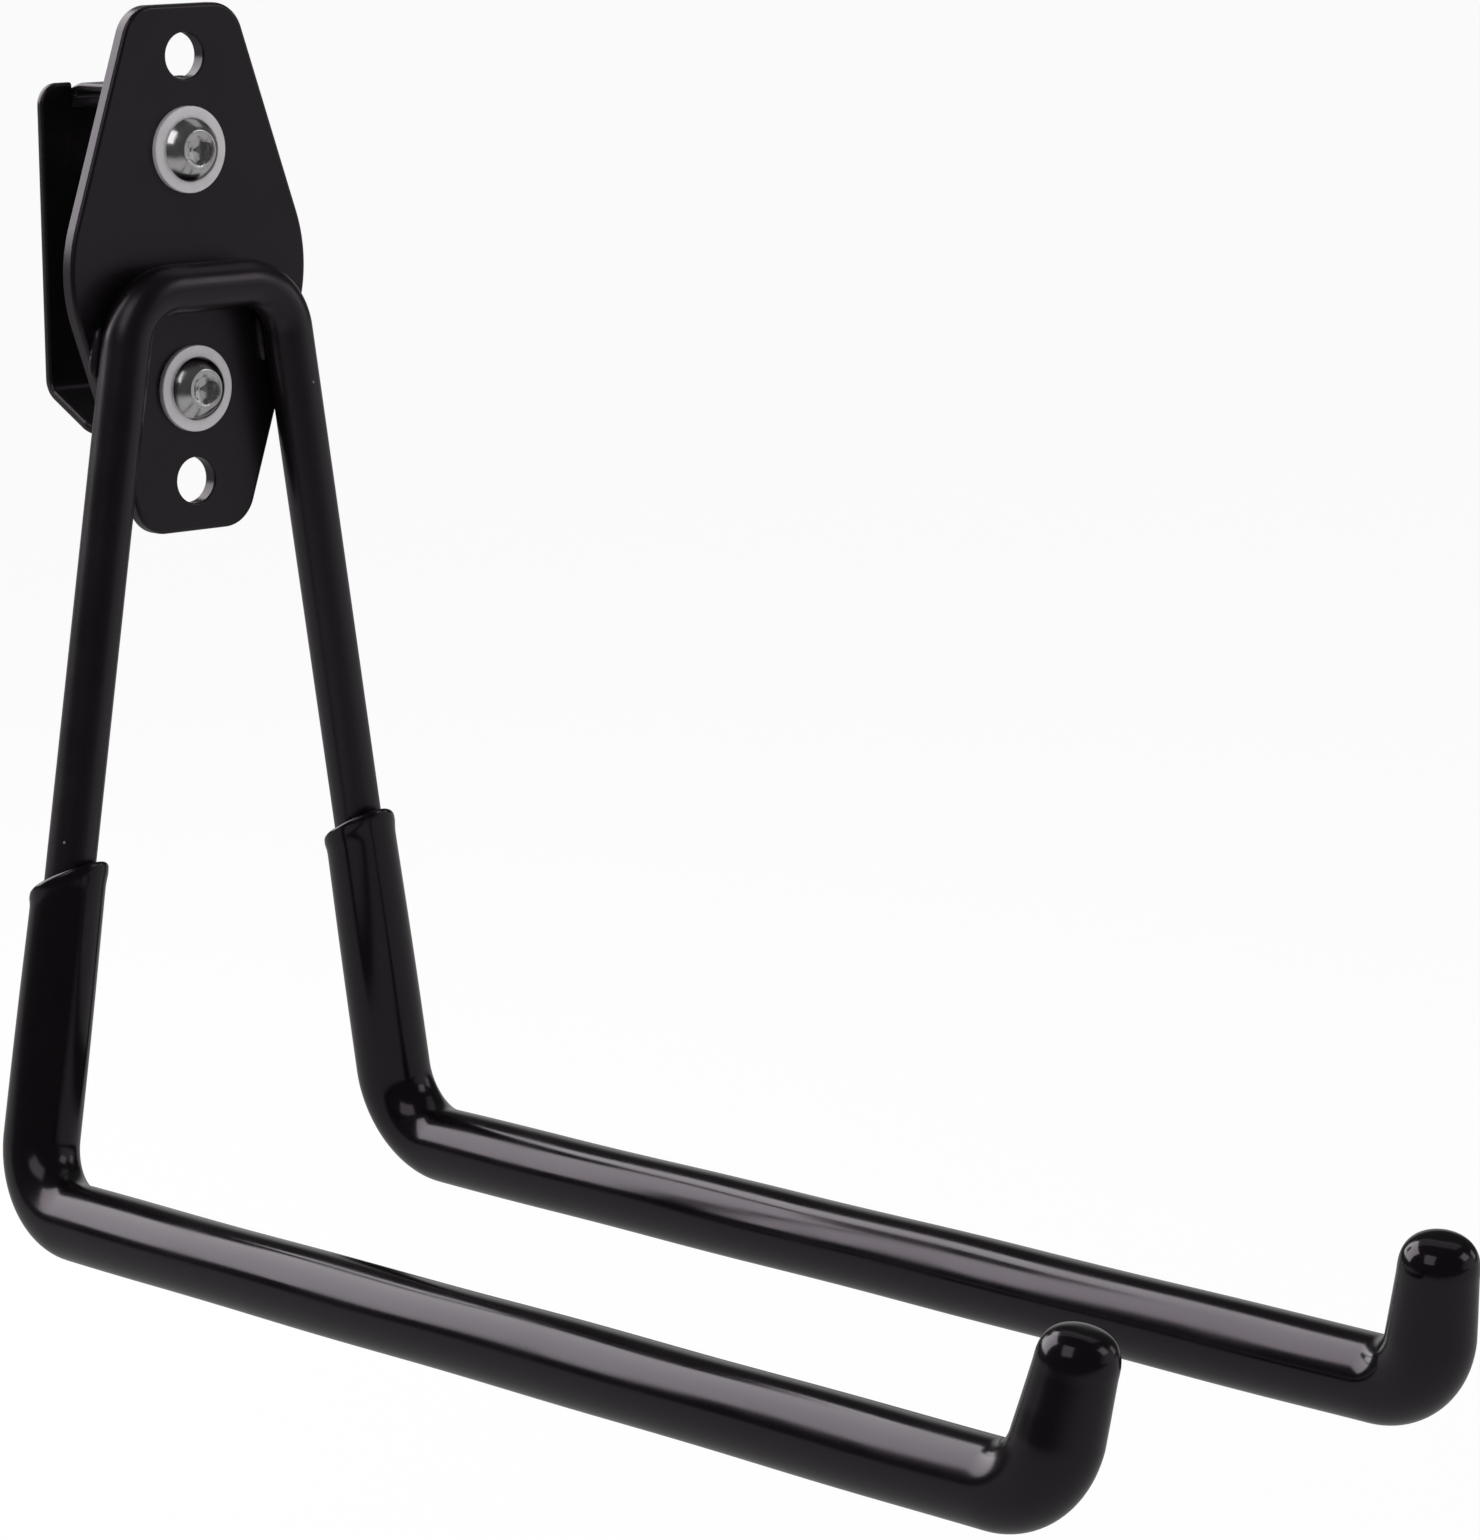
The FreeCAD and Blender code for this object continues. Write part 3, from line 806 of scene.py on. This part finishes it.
def powder_coat(finish):
    """Satin black powder coat: fine orange peel, a slow mottle in tone and gloss, and two dust specks."""
    material, tree, shader, place = finish_material("powder_coat")
    shader.inputs["Specular IOR Level"].default_value = finish.powder_shine
    shader.inputs["Specular Tint"].default_value = (*finish.gloss_tint, 1.0)
    mottle = grain(tree, place, per_metre=130.0, detail=3.0)
    tone = mottled(tree, mottle, finish.powder, dark=0.8, light=1.25)
    dusty = two_tones(tree, placed_dust(tree, place), tone, DUST_TONE)
    rough = varied(tree, mottle, finish.powder_rough, low=0.9, high=1.12)
    peel = relief(tree, grain(tree, place, per_metre=1500.0), depth=0.03 * MM, strength=0.35)
    flow = relief(tree, grain(tree, place, per_metre=420.0), depth=0.05 * MM, strength=0.2, below=peel)
    return finished(material, dusty, rough, flow)


def dipped_vinyl(finish):
    """Glossy black vinyl: long soft waves from the dip, faint pits, and a slow change of gloss."""
    material, tree, shader, place = finish_material("dipped_vinyl")
    shader.inputs["Specular Tint"].default_value = (*finish.gloss_tint, 1.0)
    slow = grain(tree, place, per_metre=55.0, detail=1.0)
    cloud = grain(tree, place, per_metre=260.0, detail=3.0)
    tone = mottled(tree, cloud, finish.vinyl, dark=0.8, light=1.3)
    rough = varied(tree, slow, finish.vinyl_rough, low=0.8, high=1.3)
    waves = relief(tree, slow, depth=0.35 * MM, strength=0.12)
    dots = pits(tree, place, per_metre=160.0, radius=0.12 * MM)
    pitted = relief(tree, dots, depth=-0.03 * MM, strength=0.6, below=waves)
    return finished(material, tone, rough, pitted)


def bright_steel(finish):
    """Bright plated steel: slight dents, a fine grain and a bloom in tone and gloss."""
    material, tree, shader, place = finish_material("bright_steel")
    shader.inputs["Metallic"].default_value = 1.0
    bloom = grain(tree, place, per_metre=520.0, detail=4.0)
    tone = mottled(tree, bloom, finish.steel, dark=0.8, light=1.1)
    rough = varied(tree, bloom, finish.steel_rough, low=0.7, high=1.5)
    dents = relief(tree, grain(tree, place, per_metre=330.0), depth=0.07 * MM, strength=0.5)
    fine = relief(tree, grain(tree, place, per_metre=2600.0), depth=0.01 * MM, strength=0.2, below=dents)
    return finished(material, tone, rough, fine)


def dull_zinc(finish):
    """Dull zinc plate: a fine crystal mottle in tone, gloss and height."""
    material, tree, shader, place = finish_material("dull_zinc")
    shader.inputs["Metallic"].default_value = finish.zinc_metal
    cells = add_node(tree, "ShaderNodeTexVoronoi", {"Vector": place, "Scale": 1900.0})
    bloom = grain(tree, place, per_metre=420.0, detail=5.0)
    tone = mottled(tree, bloom, finish.zinc, dark=0.88, light=1.06)
    rough = varied(tree, bloom, finish.zinc_rough, low=0.85, high=1.2)
    crystals = relief(tree, cells.outputs["Distance"], depth=0.02 * MM, strength=0.3)
    lumps = relief(tree, bloom, depth=0.04 * MM, strength=0.35, below=crystals)
    return finished(material, tone, rough, lumps)


def shared(maker, finish):
    """Material made once, under its maker's name, and used by every piece of that finish."""
    return bpy.data.materials.get(maker.__name__) or maker(finish)


class HOOK_OT_mounting_plate(Operator):
    """Build the stamped plate with its rounded rim and four holes"""
    bl_idname = "hook.mounting_plate"
    bl_label = "Mounting plate"

    def execute(self, context):
        hook = hook_sizes(context)
        points, faces, normals = plate_surface(hook)
        piece("plate", points, faces, shared(powder_coat, hook.finish),
              ["mounting_plate"], normals)
        return {"FINISHED"}


class HOOK_OT_bent_rod(Operator):
    """Build the rod in one piece: tip, arm, leg, top run, leg, arm and tip"""
    bl_idname = "hook.bent_rod"
    bl_label = "Bent rod"

    def execute(self, context):
        hook = hook_sizes(context)
        points, faces = closed_rings(*rod_grid(hook))
        piece("rod", points, faces, shared(powder_coat, hook.finish), ["bent_rod"])
        return {"FINISHED"}


class HOOK_OT_weld_beads(Operator):
    """Build the four rippled weld beads between the legs and the plate"""
    bl_idname = "hook.weld_beads"
    bl_label = "Weld beads"

    def execute(self, context):
        hook = hook_sizes(context)
        for side, side_name in SIDES:
            for outward, place in ((1, "outer"), (-1, "inner")):
                name = f"{side_name}_{place}"
                points, faces = closed_rings(*bead_grid(hook, side, outward))
                piece("bead_" + name, points, faces, shared(powder_coat, hook.finish),
                      ["weld_bead_" + name])
        return {"FINISHED"}


class HOOK_OT_rail_clip(Operator):
    """Build the folded rail clip: the frame's own sheet, with closed reliefs and painted round edges"""
    bl_idname = "hook.rail_clip"
    bl_label = "Rail clip"

    def execute(self, context):
        hook = hook_sizes(context)
        side, back, reach = hook.clip.relief_side, hook.clip.relief_back, hook.clip.relief_open + CLIP_SLACK
        work = bmesh.new()
        work.from_mesh(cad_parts["rail_clip"].data)
        bmesh.ops.remove_doubles(work, verts=work.verts, dist=0.002 * MM)
        bmesh.ops.dissolve_limit(work, angle_limit=math.radians(1), verts=work.verts, edges=work.edges)
        bmesh.ops.recalc_face_normals(work, faces=work.faces)
        in_relief = set()
        for vert in work.verts:
            beside = abs(vert.co.x) - side
            if vert.co.y > back and -CLIP_SLACK < beside < reach:
                in_relief.add(vert)
                if beside > CLIP_SLACK:
                    vert.co.x = math.copysign(side + CLIP_SLACK, vert.co.x)
        weights = work.edges.layers.float.new("bevel_weight_edge")
        for edge in work.edges:
            if edge.calc_face_angle(0.0) > CLIP_CREASE and not in_relief.issuperset(edge.verts):
                edge[weights] = 1.0
        mesh = bpy.data.meshes.new("clip")
        work.to_mesh(mesh)
        work.free()
        mesh.shade_smooth()
        mesh.materials.append(shared(powder_coat, hook.finish))
        clip = add_object("clip", mesh)
        edges = clip.modifiers.new("painted_edges", "BEVEL")
        edges.width = hook.clip.edge_round
        edges.segments = 3
        edges.limit_method = "WEIGHT"
        edges.use_clamp_overlap = False
        shading = clip.modifiers.new("even_shading", "WEIGHTED_NORMAL")
        shading.weight = 100
        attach(clip, BODY)
        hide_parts("rail_clip")
        return {"FINISHED"}


class HOOK_OT_dip_coatings(Operator):
    """Build the two dipped coatings with their sloping rims and domed tips"""
    bl_idname = "hook.dip_coatings"
    bl_label = "Dip coatings"

    def execute(self, context):
        hook = hook_sizes(context)
        rims = {"left": hook.coating.left_rim, "right": hook.coating.right_rim}
        for side, name in SIDES:
            points, faces = closed_rings(*coating_grid(hook, side, rims[name]))
            piece("coating_" + name, points, faces, shared(dipped_vinyl, hook.finish),
                  ["arm_coating_" + name])
        return {"FINISHED"}


class HOOK_OT_screws(Operator):
    """Build the two button-head screws with their sockets and threads"""
    bl_idname = "hook.screws"
    bl_label = "Screws"

    def execute(self, context):
        hook = hook_sizes(context)
        for level, name in LEVELS:
            points, faces = closed_rings(*screw_grid(hook, level * hook.screw.spacing / 2))
            made = piece("screw_" + name, points, faces, shared(bright_steel, hook.finish),
                         ["screw_" + name])
            made.data.set_sharp_from_angle(angle=math.radians(35))
        return {"FINISHED"}


class HOOK_OT_washers(Operator):
    """Build the two washers with their rounded rims"""
    bl_idname = "hook.washers"
    bl_label = "Washers"

    def execute(self, context):
        hook = hook_sizes(context)
        for level, name in LEVELS:
            grid = washer_grid(hook, level * hook.screw.spacing / 2)
            faces = ring_faces(*grid.shape[:2], wrap=True)
            made = piece("washer_" + name, grid.reshape(-1, 3), faces, shared(dull_zinc, hook.finish),
                         ["washer_" + name])
            made.data.set_sharp_from_angle(angle=math.radians(30))
        return {"FINISHED"}


def flat_square(name, side, z):
    """Square mesh at height z, turned so that its sides face the camera."""
    forward = unit(np.array(CAMERA_LEVEL)) * side / 2
    across = np.cross(forward, (0.0, 0.0, 1.0))
    corners = np.array([forward - across, -forward - across, across - forward, forward + across])
    mesh = bpy.data.meshes.new(name)
    mesh.from_pydata((corners + (0.0, 0.0, z)).tolist(), [], [(0, 1, 2, 3)])
    made = add_object(name, mesh)
    return made


def ray_share(tree, **shares):
    """Share that goes with the kind of ray: camera, glossy or transmission."""
    rays = add_node(tree, "ShaderNodeLightPath").outputs
    parts = [(rays[f"Is {kind.capitalize()} Ray"], share) for kind, share in shares.items()]
    return largest(tree, [number(tree, "MULTIPLY", ray, share) for ray, share in parts])


def glare(tree, strength):
    """White light of the given strength."""
    return add_node(tree, "ShaderNodeEmission", {"Color": WHITE, "Strength": strength}).outputs[0]


def mixed(tree, share, first, second, output):
    """Sends the blend of two shaders to the output node."""
    blend = add_node(tree, "ShaderNodeMixShader", {0: share, 1: first, 2: second})
    tree.links.new(blend.outputs[0], tree.nodes[output].inputs["Surface"])


def floor_paper(stage):
    """Pale paper that looks white behind the hook, grey in reflections, and still takes its shadow."""
    material, tree, place = bare_material("floor_paper")
    matt = add_node(tree, "ShaderNodeBsdfDiffuse", {"Color": (*stage.floor, 1.0)}).outputs[0]
    mirrored = spread(tree, measure(tree, "DOT_PRODUCT", place, CAMERA_LEVEL), stage.floor_mirrored,
                      stage.surround, stage.floor_fade_start, stage.floor_fade_end, "SMOOTHSTEP")
    white = glare(tree, ray_share(tree, camera=1.0, glossy=mirrored, transmission=1.0))
    share = ray_share(tree, camera=FLOOR_WHITE, glossy=1.0, transmission=FLOOR_WHITE)
    mixed(tree, share, matt, white, "Material Output")
    return material


def white_world(stage):
    """World that is white to the camera and to reflections, and an even grey light to everything else."""
    world = bpy.data.worlds.new("white_studio")
    world.use_nodes = True
    tree = world.node_tree
    plain = tree.nodes["Background"]
    plain.inputs["Color"].default_value = WHITE
    plain.inputs["Strength"].default_value = stage.ambient
    white = add_node(tree, "ShaderNodeBackground", {"Color": WHITE, "Strength": 1.0}).outputs[0]
    share = ray_share(tree, camera=1.0, glossy=1.0, transmission=1.0)
    mixed(tree, share, plain.outputs[0], white, "World Output")
    return world


def direction(azimuth, elevation):
    """Unit vector from degrees of azimuth from +X and of elevation."""
    azimuth, elevation = math.radians(azimuth), math.radians(elevation)
    return Vector((math.cos(azimuth) * math.cos(elevation), math.sin(azimuth) * math.cos(elevation),
                   math.sin(elevation)))


def studio_surround(stage):
    """Dark walls that only reflections see, with a few soft glows: level smoothstep(cosine to the glow)."""
    material, tree, place = bare_material("studio_walls")
    way = add_node(tree, "ShaderNodeVectorMath", {0: place}, operation="NORMALIZE").outputs["Vector"]
    levels = []
    for azimuth, elevation, inner, outer, level in GLOWS:
        towards = measure(tree, "DOT_PRODUCT", way, direction(azimuth, elevation))
        levels.append(spread(tree, towards, stage.surround, level, math.cos(math.radians(outer)),
                             math.cos(math.radians(inner)), "SMOOTHSTEP"))
    light = glare(tree, largest(tree, levels))
    tree.links.new(light, tree.nodes["Material Output"].inputs["Surface"])
    mesh = bpy.data.meshes.new("studio_surround")
    work = bmesh.new()
    bmesh.ops.create_icosphere(work, subdivisions=5, radius=SURROUND_RADIUS)
    work.to_mesh(mesh)
    work.free()
    mesh.materials.append(material)
    walls = add_object("studio_surround", mesh)
    for kind in ("camera", "diffuse", "transmission", "shadow"):
        setattr(walls, "visible_" + kind, False)


def area_lamp(name, towards, distance, width, height, brightness):
    """Area lamp that faces the hook's middle; its power is pi times its area times its brightness."""
    lamp = bpy.data.lights.new(name, "AREA")
    lamp.shape = "RECTANGLE"
    lamp.size = width
    lamp.size_y = height
    lamp.energy = math.pi * width * height * brightness
    made = add_object(name, lamp)
    place = HOOK_MIDDLE + towards * distance
    made.matrix_world = Matrix.LocRotScale(place, towards.to_track_quat("Z", "Y"), None)
    made.visible_camera = False


class HOOK_OT_stage(Operator):
    """Build the pale floor, the white background, the dark surround and the lamps"""
    bl_idname = "hook.stage"
    bl_label = "Stage and lamps"

    def execute(self, context):
        stage = context.scene.hook_stage
        floor = flat_square("floor", stage.floor_size, -stage.floor_drop)
        floor.data.materials.append(floor_paper(stage))
        context.scene.world = white_world(stage)
        studio_surround(stage)
        for name, azimuth, elevation, distance, width, height, share in LAMPS:
            level = (stage.window if name.endswith("window") else stage.softbox) * share
            area_lamp(name, direction(azimuth, elevation), distance, width, height, level)
        context.scene.view_settings.view_transform = "Standard"
        return {"FINISHED"}


class HOOK_OT_camera(Operator):
    """Place the camera where the photograph was taken from"""
    bl_idname = "hook.camera"
    bl_label = "Camera"

    def execute(self, context):
        back = Vector(CAMERA_BACK).normalized()
        level = Vector((math.cos(CAMERA_AZIMUTH), math.sin(CAMERA_AZIMUTH), 0.0))
        upright = back.cross(level)
        right = level * math.cos(CAMERA_ROLL) + upright * math.sin(CAMERA_ROLL)
        up = upright * math.cos(CAMERA_ROLL) - level * math.sin(CAMERA_ROLL)
        data = bpy.data.cameras.new("photo_camera")
        data.lens = FOCAL_PIXELS / PHOTO_HEIGHT * data.sensor_width
        camera = add_object("photo_camera", data)
        turned = Matrix((right, up, back)).transposed().to_4x4()
        camera.matrix_world = Matrix.Translation(Vector(CAMERA_PLACE) * MM) @ turned
        context.scene.camera = camera
        return {"FINISHED"}


class HOOK_PT_panel(Panel):
    """Lists the hook's pieces and settings"""
    bl_idname = "HOOK_PT_panel"
    bl_label = "Garage Utility Hook"
    bl_space_type = "VIEW_3D"
    bl_region_type = "UI"
    bl_category = "Hook"

    def draw(self, context):
        layout = self.layout
        for operator in OPERATORS:
            layout.operator(operator.bl_idname)
        for name in SETTINGS:
            box = layout.box()
            box.label(text=name.capitalize())
            group = getattr(context.scene, "hook_" + name)
            for key in group.__annotations__:
                box.prop(group, key)


SETTINGS = {
    "plate": HookPlateSettings,
    "rod": HookRodSettings,
    "coating": HookCoatingSettings,
    "bead": HookBeadSettings,
    "screw": HookScrewSettings,
    "clip": HookClipSettings,
    "finish": HookFinishSettings,
    "stage": HookStageSettings,
}
OPERATORS = (
    HOOK_OT_mounting_plate,
    HOOK_OT_bent_rod,
    HOOK_OT_weld_beads,
    HOOK_OT_rail_clip,
    HOOK_OT_dip_coatings,
    HOOK_OT_screws,
    HOOK_OT_washers,
    HOOK_OT_stage,
    HOOK_OT_camera,
)


def register():
    """Registers the settings, operators and panel."""
    for name, group in SETTINGS.items():
        bpy.utils.register_class(group)
        setattr(bpy.types.Scene, "hook_" + name, bpy.props.PointerProperty(type=group))
    for kind in (*OPERATORS, HOOK_PT_panel):
        bpy.utils.register_class(kind)


def unregister():
    """Takes the panel, operators and settings away."""
    for kind in (HOOK_PT_panel, *reversed(OPERATORS)):
        bpy.utils.unregister_class(kind)
    for name, group in SETTINGS.items():
        delattr(bpy.types.Scene, "hook_" + name)
        bpy.utils.unregister_class(group)


def main():
    """Builds every piece in order."""
    register()
    for operator in OPERATORS:
        group, name = operator.bl_idname.split(".")
        getattr(getattr(bpy.ops, group), name)()


if __name__ == "__main__":
    main()
